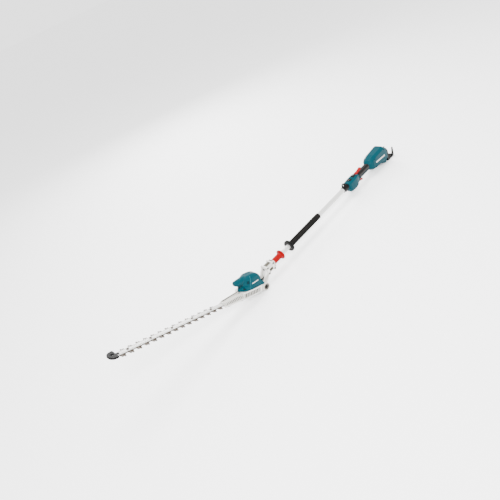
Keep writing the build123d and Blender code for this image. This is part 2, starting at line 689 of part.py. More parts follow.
def blade(name, z_low, offset):
    """A toothed blade strip with bolt slots and an open yoke around its eccentric."""
    reach = ECCENTRIC_R + STROKE
    with BuildPart() as strip:
        with BuildSketch(Plane.XY.offset(above_blade(z_low))) as outline:
            front = FIRST_TOOTH - 8
            Polygon((front, -7), (front + 5, -BLADE_HALF), (-124, -BLADE_HALF), (-124, BLADE_HALF),
                    (front + 5, BLADE_HALF), (front, 7), align=None)
            with Locations((CRANK_X, 0)):
                RectangleRounded(2 * (reach + STROKE + 5), 2 * (reach + 5), 12)
            for number in range(TEETH):
                for side, shift in ((-1, 0.0), (1, STAGGER)):
                    x = FIRST_TOOTH + number * PITCH + shift + offset
                    if x > FIRST_TOOTH + TEETH * PITCH - 20:
                        continue
                    Polygon((x - 8.5, side * 9), (x - 2.6, side * (TOOTH_TIP - 1)), (x - 1.6, side * TOOTH_TIP),
                            (x + 1.6, side * TOOTH_TIP), (x + 2.6, side * (TOOTH_TIP - 1)),
                            (x + 8.5, side * 9), align=None)
            with Locations((CRANK_X, 0)):
                RectangleRounded(2 * (reach + STROKE + 0.5), 2 * (reach + 0.5), 10, mode=Mode.SUBTRACT)
            for x in BOLT_STATIONS:
                with Locations((x, 0)):
                    SlotCenterToCenter(2 * STROKE + 1, 2 * (BOLT_R + 0.5), mode=Mode.SUBTRACT)
        extrude(outline.sketch, amount=BLADE_T)
    keep(name, strip.part, on_head=True)


def guide_bar():
    with BuildPart() as bar:
        with BuildSketch(Plane.XY.offset(above_blade(BAR_Z[0]))) as outline:
            front = FIRST_TOOTH - 13
            Polygon((front, -6), (front + 6, -BAR_HALF), (-134, -BAR_HALF), (-134, BAR_HALF),
                    (front + 6, BAR_HALF), (front, 6), align=None)
            for x in BOLT_STATIONS:
                with Locations((x, 0)):
                    Circle(BOLT_R, mode=Mode.SUBTRACT)
        extrude(outline.sketch, amount=BAR_Z[1] - BAR_Z[0])
    keep("guide_bar", bar.part, on_head=True)


def blade_bolts():
    for number, x in enumerate(BOLT_STATIONS, start=1):
        with BuildPart() as bolt:
            upright(x, 0, BOLT_R, above_blade(-3.0), above_blade(BAR_Z[1]))
            upright(x, 0, 5.4, above_blade(BAR_Z[1]), above_blade(BAR_Z[1] + 2.4))
            fillet(bolt.edges().group_by(Axis.Z)[-1], 0.8)
            upright(x, 0, 6.0, above_blade(-5.4), above_blade(-2.6))
        keep(f"blade_bolt_{number}", bolt.part, on_head=True)


def tip_guard():
    low, high = above_blade(4.0), above_blade(12.0)
    with BuildPart() as guard:
        half = [(-763, 27), (-770, 29), (-784, 26), (-793, 17), (-796.5, 6)]
        plan(mirrored(half), low, high)
        fillet(guard.edges().filter_by(Plane.XY), 2.4)
        block((-764, -752), (-6.5, 6.5), (above_blade(BAR_Z[1]), above_blade(8.2)))
        upright(-778, 0, 7.0, -30, 30, mode=Mode.SUBTRACT)
    keep("tip_guard", guard.part, on_head=True)


pole_tube()
pole_cable()
bracket_half("bracket_left", 1)
bracket_half("bracket_right", -1)
bracket_screws()
pivot_bolt()
pivot_nut()
lock_sleeve()
latch_bar()
hand_guard()
foam_grip()
hanger_clamp()
hanger_screw()
housing_shells()
housing_screws()
handle_rubber("handle_grip", -9.0, 40.0)
handle_rubber("grip_underside", -50.0, -15.0)
control_panel()
buttons()
trigger()
lock_off_lever()
switch_unit()
controller()
battery_plate()
battery_terminals()
rear_guard()
nose_cover()
gear_case()
bottom_cover()
case_screws()
index_plate()
motor_half("motor_housing_left", 1)
motor_half("motor_housing_right", -1)
motor_screws()
cable_boot()
stator()
bearing("motor_bearing", 11.0, CAVITY_TOP + 0.5, CASE_TOP)
bearing("motor_end_plate", 22.0, 66.0, 69.0)
rotor()
crank()
guide_bar()
blade("upper_blade", BLADE_GAP, 0.0)
blade("lower_blade", -BLADE_GAP - BLADE_T, 10.0)
blade_bolts()
tip_guard()

# ---- move everything so that the origin is the middle of the underside ------------------------
boxes = [shape.bounding_box() for shape in parts.values()]
SHIFT = Location((
    -(min(box.min.X for box in boxes) + max(box.max.X for box in boxes)) / 2,
    -(min(box.min.Y for box in boxes) + max(box.max.Y for box in boxes)) / 2,
    -min(box.min.Z for box in boxes),
))
for node, shape in parts.items():
    placed = SHIFT * shape
    placed.label = node
    export_step(placed, f"parts/{node}.step")
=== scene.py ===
"""Looks of the pole hedge trimmer: materials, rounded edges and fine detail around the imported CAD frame.

Two layouts are used, both in millimetres: tool(x, y, z) has the pole's axis at z = 0 and the tilt pin
below its zero, and head(x, y, z) lies along the blade, with z measured from the plane between the blades.
"""
import json
import math

import bmesh
import bpy
from mathutils import Matrix, Vector
from mathutils.bvhtree import BVHTree


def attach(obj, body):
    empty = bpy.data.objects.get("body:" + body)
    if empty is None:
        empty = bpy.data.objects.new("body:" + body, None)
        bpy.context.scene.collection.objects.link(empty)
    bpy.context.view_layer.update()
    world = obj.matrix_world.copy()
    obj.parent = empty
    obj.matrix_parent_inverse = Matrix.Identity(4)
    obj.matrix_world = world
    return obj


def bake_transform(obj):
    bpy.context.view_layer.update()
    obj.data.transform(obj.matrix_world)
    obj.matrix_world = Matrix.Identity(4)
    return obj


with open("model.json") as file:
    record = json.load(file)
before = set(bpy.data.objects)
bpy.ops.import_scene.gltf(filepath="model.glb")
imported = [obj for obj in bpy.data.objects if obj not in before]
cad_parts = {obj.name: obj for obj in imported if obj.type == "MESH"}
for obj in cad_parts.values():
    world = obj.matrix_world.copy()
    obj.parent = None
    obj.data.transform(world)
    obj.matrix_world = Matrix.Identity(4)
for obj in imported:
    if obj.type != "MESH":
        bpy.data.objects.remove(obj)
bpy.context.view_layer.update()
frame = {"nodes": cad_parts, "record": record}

# ---- layouts -----------------------------------------------------------------------------
MM = 0.001
JOINTS = {joint["name"]: joint for joint in frame["record"]["behaviour"]["joints"]}
PIVOT = Vector(JOINTS["head_tilt"]["pos_m"])
PIVOT_DROP = 51.0  # depth of the tilt pin below the pole's axis
BLADE_DROP = 5.6  # depth of the plane between the blades below the tilt pin
HEAD_UP = Vector(JOINTS["rotor_spin"]["axis"])
HEAD_BACK = Vector(JOINTS["upper_blade_slide"]["axis"])
ACROSS = Vector((0, 1, 0))


def tool(x, y, z):
    """A point given in the pole's layout."""
    return PIVOT + Vector((x, y, z + PIVOT_DROP)) * MM


def head(x, y, z):
    """A point given in the head's layout."""
    return PIVOT + (HEAD_BACK * x + ACROSS * y + HEAD_UP * (z - BLADE_DROP)) * MM


# ---- materials ----------------------------------------------------------------------------
RAMP_LOW, RAMP_HIGH = 0.3, 0.7
GRAIN_DEPTH = 0.0006


def finish(name, color, metallic=0.0, rough=(0.35, 0.45), tint=0.06, patch=18.0, grain=900.0, relief=0.02,
           stretch=(1.0, 1.0, 1.0), edge=None, shine=0.12):
    """A procedural surface: uneven tint and gloss, a fine grain in relief, and rubbed or darkened edges.

    edge holds a colour and the two values of pointiness between which it fades in.
    """
    material = bpy.data.materials.new(name)
    material.use_nodes = True
    nodes, links = material.node_tree.nodes, material.node_tree.links
    shader = nodes["Principled BSDF"]
    shader.inputs["Metallic"].default_value = metallic
    shader.inputs["Specular IOR Level"].default_value = shine
    place = nodes.new("ShaderNodeTexCoord")
    scale = nodes.new("ShaderNodeMapping")
    scale.inputs["Scale"].default_value = stretch
    links.new(place.outputs["Object"], scale.inputs["Vector"])

    cloud = nodes.new("ShaderNodeTexNoise")
    cloud.inputs["Scale"].default_value = patch
    cloud.inputs["Detail"].default_value = 5.0
    links.new(scale.outputs["Vector"], cloud.inputs["Vector"])
    shade = nodes.new("ShaderNodeValToRGB")
    shade.color_ramp.elements[0].position = RAMP_LOW
    shade.color_ramp.elements[1].position = RAMP_HIGH
    shade.color_ramp.elements[0].color = (*[channel * (1 - tint) for channel in color], 1)
    shade.color_ramp.elements[1].color = (*[min(channel * (1 + tint), 1.0) for channel in color], 1)
    links.new(cloud.outputs["Fac"], shade.inputs["Fac"])
    colour_out = shade.outputs["Color"]
    if edge:
        edge_color, low, high = edge
        rim = nodes.new("ShaderNodeNewGeometry")
        mask = nodes.new("ShaderNodeMapRange")
        mask.inputs["From Min"].default_value = low
        mask.inputs["From Max"].default_value = high
        links.new(rim.outputs["Pointiness"], mask.inputs["Value"])
        mix = nodes.new("ShaderNodeMix")
        mix.data_type = "RGBA"
        mix.inputs["B"].default_value = (*edge_color, 1)
        links.new(mask.outputs["Result"], mix.inputs["Factor"])
        links.new(colour_out, mix.inputs["A"])
        colour_out = mix.outputs["Result"]
    links.new(colour_out, shader.inputs["Base Color"])

    gloss = nodes.new("ShaderNodeMapRange")
    gloss.inputs["To Min"].default_value = rough[0]
    gloss.inputs["To Max"].default_value = rough[1]
    links.new(cloud.outputs["Fac"], gloss.inputs["Value"])
    links.new(gloss.outputs["Result"], shader.inputs["Roughness"])

    fine = nodes.new("ShaderNodeTexNoise")
    fine.inputs["Scale"].default_value = grain
    fine.inputs["Detail"].default_value = 2.0
    links.new(scale.outputs["Vector"], fine.inputs["Vector"])
    bump = nodes.new("ShaderNodeBump")
    bump.inputs["Strength"].default_value = relief
    bump.inputs["Distance"].default_value = GRAIN_DEPTH
    links.new(fine.outputs["Fac"], bump.inputs["Height"])
    links.new(bump.outputs["Normal"], shader.inputs["Normal"])
    return material


TEAL = finish("teal_shell", (0.0, 0.030, 0.040), rough=(0.26, 0.36), tint=0.04, grain=1400, relief=0.04,
              shine=0.05)
# lighter teal: a painted highlight along the crease of the motor housing
TEAL_HIGHLIGHT = finish("teal_painted_highlight", (0.01, 0.075, 0.095), rough=(0.24, 0.34), tint=0.03, grain=1400, relief=0.05)
RED = finish("red_plastic", (0.18, 0.0, 0.0012), rough=(0.26, 0.36), tint=0.04, grain=1200, relief=0.04,
             shine=0.05)
BLACK = finish("black_plastic", (0.0014, 0.0014, 0.0014), rough=(0.36, 0.5), tint=0.15, grain=1500,
               relief=0.15, shine=0.08)
RUBBER = finish("black_rubber", (0.0030, 0.0025, 0.0023), rough=(0.24, 0.34), tint=0.12, grain=1100,
                relief=0.1)
FOAM = finish("foam", (0.0062, 0.0057, 0.0053), rough=(0.85, 0.95), tint=0.25, patch=60, grain=700,
              relief=0.7, shine=0.04)
CAST = finish("cast_alloy", (0.33, 0.32, 0.29), metallic=0.2, rough=(0.36, 0.5), tint=0.10, patch=26,
              grain=850, relief=0.28, edge=((0.60, 0.59, 0.56), 0.51, 0.55), shine=0.25)
# darker cast alloy: painted shade in grooves, between ribs, on the clamp and round the tilt bolt
CAST_PAINTED_SHADE = finish("cast_shadow", (0.040, 0.036, 0.025), rough=(0.5, 0.65), tint=0.15, patch=40, grain=850,
                   relief=0.3)
POLE = finish("pole_alloy", (0.50, 0.50, 0.485), metallic=0.4, rough=(0.22, 0.32), tint=0.03, grain=1200,
              relief=0.08, stretch=(0.06, 1.0, 1.0), shine=0.3)
BLADE = finish("blade_steel", (0.052, 0.040, 0.030), metallic=0.3, rough=(0.3, 0.45), tint=0.15, patch=40,
               grain=900, relief=0.15, stretch=(1.0, 0.12, 1.0), edge=((0.02, 0.013, 0.009), 0.51, 0.56))
BAR = finish("bar_steel", (0.46, 0.455, 0.44), metallic=0.3, rough=(0.3, 0.42), tint=0.06, grain=900,
             relief=0.15, stretch=(0.1, 1.0, 1.0), shine=0.3)
# darker steel: painted shade in the guide bar's grooves
BAR_SHADE = finish("bar_painted_shade", (0.16, 0.155, 0.145), rough=(0.4, 0.5), tint=0.1, grain=900, relief=0.1)
SCREW = finish("screw_steel", (0.004, 0.0036, 0.0032), rough=(0.4, 0.5), tint=0.15, grain=1500, relief=0.1)
MOTOR = finish("motor_steel", (0.10, 0.05, 0.022), metallic=0.5, rough=(0.4, 0.55), tint=0.2, grain=1200,
               relief=0.2)
PALE = finish("pale_plate", (0.42, 0.40, 0.39), rough=(0.35, 0.45), tint=0.02, grain=1300, relief=0.05)
# near black: painted shade in screw recesses and bolt sockets
RECESS_SHADE = finish("painted_recess_shade", (0.0008, 0.0009, 0.0009), rough=(0.7, 0.8), tint=0.2, grain=1200, relief=0.1,
              shine=0.04)
# dark teal: painted shade in the vent slots
TEAL_SLOT_SHADE = finish("teal_painted_slot_shade", (0.0, 0.006, 0.009), rough=(0.5, 0.6), tint=0.1, grain=1200, relief=0.1,
                   shine=0.06)

SLOT_FINISH = {
    "teal_shell": TEAL, "red_plastic": RED, "black_plastic": BLACK, "black_rubber": RUBBER, "foam": FOAM,
    "cast_alloy": CAST, "pole_alloy": POLE, "blade_steel": BLADE, "screw_steel": SCREW, "motor_steel": MOTOR,
}
NODE_FINISH = {"guide_bar": BAR, "bottom_cover": BAR}
EDGE_ROUND = {
    "teal_shell": 0.9, "red_plastic": 0.6, "black_plastic": 0.6, "black_rubber": 0.5, "cast_alloy": 1.1,
    "blade_steel": 0.25, "screw_steel": 0.3, "pole_alloy": 0.2, "foam": 0.5, "motor_steel": 0.3,
}


WELD_GAP = 1e-6
ROUND_STEPS = 2
NODE_EDGE_ANGLE, PIECE_EDGE_ANGLE = 32, 35


def round_edges(thing, width, angle):
    """Rounds the edges that turn by more than an angle in degrees, by a width in millimetres."""
    rounding = thing.modifiers.new("edges", "BEVEL")
    rounding.width = width * MM
    rounding.segments = ROUND_STEPS
    rounding.limit_method = "ANGLE"
    rounding.angle_limit = math.radians(angle)
    rounding.harden_normals = True


def dress_cad_nodes():
    """Gives every CAD node its finish and a small rounding along its sharp edges."""
    for part in frame["record"]["subparts"]:
        node = frame["nodes"][part["node"]]
        material = NODE_FINISH.get(part["node"], SLOT_FINISH[part["material_slot"]])
        if not node.material_slots:
            node.data.materials.append(material)
        for place in node.material_slots:
            place.material = material
        weld = node.modifiers.new("weld", "WELD")
        weld.merge_threshold = WELD_GAP
        round_edges(node, EDGE_ROUND[part["material_slot"]], NODE_EDGE_ANGLE)
        level = node.modifiers.new("normals", "WEIGHTED_NORMAL")
        level.keep_sharp = True


# ---- mesh helpers --------------------------------------------------------------------------
PLATE_SINK = 0.0004
LABEL_LIFT, SHADE_PLATE_LIFT = 0.0004, 0.0003


def piece(name, verts, faces, material, body, smooth=False, bevel=0.0):
    """A mesh piece in row-frame metres that rides on a body."""
    mesh = bpy.data.meshes.new(name)
    mesh.from_pydata([tuple(v) for v in verts], [], faces)
    shape = bmesh.new()
    shape.from_mesh(mesh)
    bmesh.ops.recalc_face_normals(shape, faces=shape.faces)
    shape.to_mesh(mesh)
    shape.free()
    for polygon in mesh.polygons:
        polygon.use_smooth = smooth or bevel > 0
    mesh.materials.append(material)
    made = bpy.data.objects.new(name, mesh)
    bpy.context.collection.objects.link(made)
    if bevel:
        round_edges(made, bevel, PIECE_EDGE_ANGLE)
    if body:
        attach(made, body)
    return made


def add_prism(verts, faces, lower, upper):
    """Adds a closed prism between two loops of the same number of points."""
    start = len(verts)
    count = len(lower)
    verts.extend(lower)
    verts.extend(upper)
    faces.append(tuple(start + i for i in range(count)))
    faces.append(tuple(start + count + i for i in range(count)))
    for i in range(count):
        j = (i + 1) % count
        faces.append((start + i, start + j, start + count + j, start + count + i))


def tube_mesh(path, radius, sides=14):
    """Vertices and faces of a round tube along a path, with flat ends."""
    verts, faces = [], []
    side = None
    for i, point in enumerate(path):
        along = (path[min(i + 1, len(path) - 1)] - path[max(i - 1, 0)]).normalized()
        if side is None:
            side = along.orthogonal().normalized()
        side = (side - along * side.dot(along)).normalized()
        other = along.cross(side)
        for k in range(sides):
            angle = 2 * math.pi * k / sides
            verts.append(point + (side * math.cos(angle) + other * math.sin(angle)) * radius)
    for i in range(len(path) - 1):
        for k in range(sides):
            j = (k + 1) % sides
            faces.append((i * sides + k, i * sides + j, (i + 1) * sides + j, (i + 1) * sides + k))
    faces.append(tuple(range(sides)))
    faces.append(tuple((len(path) - 1) * sides + k for k in range(sides)))
    return verts, faces


def smooth_path(points, steps=8):
    """A Catmull-Rom curve through given points."""
    padded = [points[0], *points, points[-1]]
    path = []
    for a, b, c, d in zip(padded, padded[1:], padded[2:], padded[3:]):
        for step in range(steps):
            t = step / steps
            path.append(0.5 * ((2 * b) + (c - a) * t + (2 * a - 5 * b + 4 * c - d) * t * t
                               + (3 * b - a - 3 * c + d) * t ** 3))
    path.append(points[-1])
    return path


def surface_of(*names):
    """A ray-cast tree of CAD nodes at rest, in row-frame metres."""
    verts, faces = [], []
    for name in names:
        mesh = frame["nodes"][name].data
        start = len(verts)
        verts.extend(v.co.copy() for v in mesh.vertices)
        faces.extend(tuple(start + i for i in polygon.vertices) for polygon in mesh.polygons)
    return BVHTree.FromPolygons(verts, faces)


def landing(tree, start, direction):
    """Where a ray first meets the surface, or None."""
    return tree.ray_cast(start, direction)[0]


def plate(name, tree, place, rows, columns, toward, lift, material, body):
    """A thin plate that follows a surface, or nothing where a ray towards the surface misses it.

    place(u, v) gives a point well outside, with u and v from 0 to 1.
    """
    lower, upper = [], []
    for r in range(rows + 1):
        for c in range(columns + 1):
            hit = landing(tree, place(c / columns, r / rows), toward)
            if hit is None:
                return None
            lower.append(hit + toward * PLATE_SINK)
            upper.append(hit - toward * lift)
    verts = lower + upper
    size = len(lower)
    faces = []
    for r in range(rows):
        for c in range(columns):
            a = r * (columns + 1) + c
            quad = (a, a + 1, a + columns + 2, a + columns + 1)
            faces.append(quad[::-1])
            faces.append(tuple(size + i for i in quad))
    border = list(range(columns + 1))
    border += [(r + 1) * (columns + 1) + columns for r in range(rows)]
    border += [rows * (columns + 1) + c for c in range(columns - 1, -1, -1)]
    border += [r * (columns + 1) for r in range(rows - 1, 0, -1)]
    for i, a in enumerate(border):
        b = border[(i + 1) % len(border)]
        faces.append((a, b, size + b, size + a))
    return piece(name, verts, faces, material, body)


# ---- cutting head ---------------------------------------------------------------------------
NOSE_FRONT, NOSE_BACK = -250.0, -146.0
NOSE_RIB_FIRST, NOSE_RIB_PITCH, NOSE_RIBS = 9.0, 8.8, 11
RIB_HALF = 1.3


def nose_flank(x):
    """Lower and upper points (y, z) of the nose casting's sloping side at a station."""
    t = (x - NOSE_FRONT) / (NOSE_BACK - NOSE_FRONT)
    return (19.0 + 8.0 * t, 2.0), (12.0 + 3.0 * t, 12.5 + 9.5 * t)


def nose_ribs():
    """The row of ribs along both sloping sides of the nose casting."""
    verts, faces = [], []
    for number in range(NOSE_RIBS):
        x = NOSE_FRONT + NOSE_RIB_FIRST + NOSE_RIB_PITCH * number
        (y0, z0), (y1, z1) = nose_flank(x)
        for side in (-1, 1):
            loops = []
            for edge in (-RIB_HALF, RIB_HALF):
                loops.append([
                    head(x + edge, side * (y0 - 1.0), z0 - 0.5), head(x + edge, side * (y0 + 3.6), z0 - 0.4),
                    head(x + edge, side * (y0 + 3.0), z0 + 2.2),
                    head(x + edge, side * (y1 + 1.6), z1 - 1.5), head(x + edge, side * (y1 - 0.6), z1 - 1.0),
                ])
            add_prism(verts, faces, *loops)
    piece("nose_ribs", verts, faces, CAST, "head", bevel=0.5)


def nose_rims():
    """Raised rims along both edges of the sunk spine, with a dark strip of painted shade in the groove inside
    each.
    """
    verts, faces = [], []
    groove_verts, groove_faces = [], []
    for side in (-1, 1):
        rim, groove = [], []
        for x in (NOSE_FRONT + 2.0, NOSE_BACK):
            _, (y, z) = nose_flank(x)
            rim.append([head(x, side * (y - 2.4), z - 0.5), head(x, side * y, z - 0.5),
                        head(x, side * (y - 0.4), z + 2.2), head(x, side * (y - 1.8), z + 2.2)])
            groove.append([head(x, side * (y - 5.2), z - 0.4), head(x, side * (y - 2.2), z - 0.4),
                           head(x, side * (y - 1.9), z + 1.9), head(x, side * (y - 2.2), z + 1.9),
                           head(x, side * (y - 2.7), z + 0.25), head(x, side * (y - 5.2), z + 0.25)])
        add_prism(verts, faces, *rim)
        add_prism(groove_verts, groove_faces, *groove)
    piece("nose_rims", verts, faces, CAST, "head", bevel=0.4)
    # dark strips of painted shade inside the rims
    piece("nose_groove_shade", groove_verts, groove_faces, CAST_PAINTED_SHADE, "head")


def nose_rib_shade():
    """Painted shade between the ribs on both sloping sides of the nose: a thin darker plate."""
    verts, faces = [], []
    for side in (-1, 1):
        loops = []
        for x in (NOSE_FRONT + 7.0, NOSE_BACK - 2.0):
            (y0, z0), (y1, z1) = nose_flank(x)
            loops.append([head(x, side * (y0 - 1.0), z0), head(x, side * (y0 + 0.5), z0 + 0.2),
                          head(x, side * (y1 + 0.5), z1 - 1.6), head(x, side * (y1 - 1.0), z1 - 1.6)])
        add_prism(verts, faces, *loops)
    piece("nose_rib_shade", verts, faces, CAST_PAINTED_SHADE, "head")


CASE_FRONT, CASE_SHOULDER, CASE_WIDEST, CASE_END = -146.0, -128.0, -60.0, -34.0
CASE_RIB_FIRST, CASE_RIB_PITCH, CASE_RIBS = -138.0, 9.8, 10
FLANGE_Z, BELT_Z = (-3.0, 0.2), (22.5, 26.4)
BAND_END = -38.0
SHADE_FRONT, SHADE_END = -143.0, -44.0


def case_side(x):
    """Half width of the gear case at a station: out to the shoulder, slowly wider, then in again."""
    if x < CASE_SHOULDER:
        return 29.5 + 3.5 * (x - CASE_FRONT) / (CASE_SHOULDER - CASE_FRONT)
    if x < CASE_WIDEST:
        return 33.0 + (x - CASE_SHOULDER) / (CASE_WIDEST - CASE_SHOULDER)
    return 34.0 - 3.0 * (x - CASE_WIDEST) / (CASE_END - CASE_WIDEST)


def case_ribs():
    """The row of upright ribs along both sides of the gear case."""
    verts, faces = [], []
    for number in range(CASE_RIBS):
        x = CASE_RIB_FIRST + CASE_RIB_PITCH * number
        y = case_side(x)
        for side in (-1, 1):
            loops = []
            for edge in (-RIB_HALF, RIB_HALF):
                loops.append([
                    head(x + edge, side * (y - 1.0), 0.0), head(x + edge, side * (y + 1.0), 0.0),
                    head(x + edge, side * (y + 0.9), 19.0), head(x + edge, side * (y - 1.0), 22.0),
                ])
            add_prism(verts, faces, *loops)
    piece("case_ribs", verts, faces, CAST, "head", bevel=0.5)


def case_bands():
    """The flange lip along the bottom of the casting and the belt just under the motor housing."""
    verts, faces = [], []
    middle = (CASE_SHOULDER + CASE_WIDEST) / 2
    stations = [CASE_FRONT, CASE_SHOULDER, middle, CASE_WIDEST, BAND_END]
    for low, high in (FLANGE_Z, BELT_Z):
        for side in (-1, 1):
            for start, end in zip(stations, stations[1:]):
                loops = []
                for x in (start, end):
                    y = case_side(x)
                    loops.append([head(x, side * (y - 1), low), head(x, side * (y + 1.1), low),
                                  head(x, side * (y + 1.1), high), head(x, side * (y - 1), high)])
                add_prism(verts, faces, *loops)
    piece("case_bands", verts, faces, CAST, "head", bevel=0.4)


def case_rib_shade():
    """Painted shade between the ribs on both sides of the gear case: thin darker plates."""
    verts, faces = [], []
    stations = [SHADE_FRONT, CASE_SHOULDER, CASE_WIDEST, SHADE_END]
    for side in (-1, 1):
        for start, end in zip(stations, stations[1:]):
            loops = []
            for x in (start, end):
                y = case_side(x)
                loops.append([head(x, side * (y - 1), 0.2), head(x, side * (y + 0.2), 0.2),
                              head(x, side * (y + 0.2), 20.5), head(x, side * (y - 1), 20.5)])
            add_prism(verts, faces, *loops)
    piece("case_rib_shade", verts, faces, CAST_PAINTED_SHADE, "head")


OUTSIDE = 60.0
BEAD_STEPS, BEAD_RADIUS = 24, 0.0009
MOTOR_VENTS, VENT_PITCH = 3, 3.8
RECESS_WIDTH, RECESS_HEIGHT = 5.2, 3.4
RECESS_SPOTS = ((-129.5, 38.0), (-78.0, 32.0), (-66.0, 32.0))
CHIN_FRONT, CHIN_RECESS, ABOVE_CHIN = -146.0, 5.0, 47.5


def motor_details():
    """On each side a seam bead in a lighter teal that paints the highlight along its crease, a plain label,
    and dark plates of painted shade for three vent slots and three screw recesses.
    """
    shell = surface_of("motor_housing_left", "motor_housing_right")
    for side, name in ((-1, "near"), (1, "far")):
        toward = ACROSS * -side
        path = []
        for step in range(BEAD_STEPS + 1):
            x, z = -103 + 3.5 * step / BEAD_STEPS, 33 + 58 * step / BEAD_STEPS
            hit = landing(shell, head(x, side * OUTSIDE, z), toward)
            if hit is not None:
                path.append(hit)
        # the bead's lighter teal is a painted highlight along the crease
        verts, faces = tube_mesh(path, BEAD_RADIUS, sides=10)
        piece(f"motor_highlight_bead_{name}", verts, faces, TEAL_HIGHLIGHT, "head", smooth=True)

        def label(u, v):
            return head(-92 + 39 * u, side * OUTSIDE, 53 + 4.2 * v + 4.5 * u)

        plate(f"motor_plate_{name}", shell, label, 3, 12, toward, LABEL_LIFT, PALE, "head")
        # dark plates of painted shade for the vent slots
        for number in range(MOTOR_VENTS):
            def vent(u, v, x=-117.0 + VENT_PITCH * number):
                return head(x + 2.6 * u, side * OUTSIDE, 58 + 14 * v)

            plate(f"motor_slot_shade_{name}_{number}", shell, vent, 5, 2, toward, SHADE_PLATE_LIFT, TEAL_SLOT_SHADE, "head")
        # dark plates of painted shade for the screw recesses
        for number, (x, z) in enumerate(RECESS_SPOTS):
            def recess(u, v, x=x, z=z):
                return head(x + RECESS_WIDTH * (u - 0.5), side * OUTSIDE, z + RECESS_HEIGHT * (v - 0.5))

            plate(f"motor_screw_shade_{name}_{number}", shell, recess, 2, 3, toward, SHADE_PLATE_LIFT, RECESS_SHADE, "head")


def chin_screw_shade():
    """A thin dark plate of painted shade for the screw recess on top of the chin."""
    shell = surface_of("motor_housing_left", "motor_housing_right")

    def spot(u, v):
        return head(CHIN_FRONT + CHIN_RECESS * u, CHIN_RECESS * (v - 0.5), ABOVE_CHIN)

    plate("chin_screw_shade", shell, spot, 3, 3, -HEAD_UP, LABEL_LIFT, RECESS_SHADE, "head")


CLAMP_FACE_Y = -21.0
CLAMP_SCREW_X, CLAMP_SCREW_Z = (52, 92), (-15.6, 15.6)
DISC_RADIUS, DISC_SIDES = 4.9, 24


def side_socket_shade():
    """Dark discs of painted shade for the recesses over the near ends of the clamp's four screws, wider than
    the screw heads.
    """
    verts, faces = [], []
    for z in CLAMP_SCREW_Z:
        for x in CLAMP_SCREW_X:
            loops = []
            for depth in (1.8, -0.8):
                turns = [2 * math.pi * k / DISC_SIDES for k in range(DISC_SIDES)]
                loops.append([tool(x + DISC_RADIUS * math.cos(turn), CLAMP_FACE_Y + depth,
                                   z + DISC_RADIUS * math.sin(turn)) for turn in turns])
            add_prism(verts, faces, *loops)
    piece("bracket_socket_shade", verts, faces, RECESS_SHADE, "pole")


def bracket_details():
    """Thin plates of painted shade on the clamp's top, underside and sides, and a ring of painted shade round
    the tilt bolt.
    """
    verts, faces = [], []
    for half, inner, outer, ends in ((10, 18.4, 19.2, (47, 103)), (9, -18.4, -19.2, (58, 101))):
        outline = ((-half, inner), (half, inner), (half, outer), (-half, outer))
        add_prism(verts, faces, *[[tool(x, y, z) for y, z in outline] for x in ends])
    outline = ((61, -12), (83, -12), (83, 3), (61, 3))
    for side in (-1, 1):
        add_prism(verts, faces, *[[tool(x, side * y, z) for x, z in outline] for y in (18.0, 18.8)])
    piece("clamp_painted_shade", verts, faces, CAST_PAINTED_SHADE, "pole")

    verts, faces = [], []
    steps = 40
    profile = ((15.5, -29.8), (15.0, -30.5), (11.6, -30.5), (11.3, -29.0))
    for radius, y in profile:
        for k in range(steps):
            angle = 2 * math.pi * k / steps
            verts.append(PIVOT + (HEAD_BACK * math.cos(angle) + HEAD_UP * math.sin(angle)) * radius * MM
                         + ACROSS * y * MM)
    for ring in range(len(profile)):
        other = (ring + 1) % len(profile)
        for k in range(steps):
            j = (k + 1) % steps
            faces.append((ring * steps + k, ring * steps + j, other * steps + j, other * steps + k))
    piece("pivot_shade_ring", verts, faces, CAST_PAINTED_SHADE, "head")


TOOTH_PITCH = 500.0 / 15.0
BLADE_BOLTS, TEETH_PER_BOLT, FIRST_BOLT = 5, 3, -715.0
HEX_RADIUS = 2.6
LINE_ENDS, LINE_Y, LINE_Z = (-755.0, -252.0), (6.6, 8.2), (5.6, 5.95)


def bolt_socket_shade():
    """Dark six-sided plates of painted shade for the sockets in the heads of the blade bolts."""
    verts, faces = [], []
    for number in range(BLADE_BOLTS):
        x = FIRST_BOLT + TEETH_PER_BOLT * TOOTH_PITCH * number
        loops = []
        for z in (7.6, 8.35):
            turns = [math.radians(60 * k) for k in range(6)]
            loops.append([head(x + HEX_RADIUS * math.cos(turn), HEX_RADIUS * math.sin(turn), z)
                          for turn in turns])
        add_prism(verts, faces, *loops)
    piece("bolt_socket_shade", verts, faces, RECESS_SHADE, "head")


def bar_shade_lines():
    """Two thin darker strips of painted shade for the grooves along the guide bar, either side of its bolts.
    """
    verts, faces = [], []
    (near, far), (low, high) = LINE_Y, LINE_Z
    for side in (-1, 1):
        outline = ((near, low), (far, low), (far, high), (near, high))
        add_prism(verts, faces, *[[head(x, side * y, z) for y, z in outline] for x in LINE_ENDS])
    piece("bar_shade_lines", verts, faces, BAR_SHADE, "head")


CABLE_RADIUS = 0.0038


def head_cable():
    """The short cable from the boot on the motor housing up into the end of the pole."""
    path = smooth_path([head(-12, 0, 35), head(-4, 0, 34.5), head(6, 0, 34.5),
                        tool(17, 0, -29), tool(21, 0, -25), tool(26, 0, -20)])
    verts, faces = tube_mesh(path, CABLE_RADIUS)
    cable = piece("head_cable", verts, faces, RUBBER, None, smooth=True)
    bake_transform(cable)


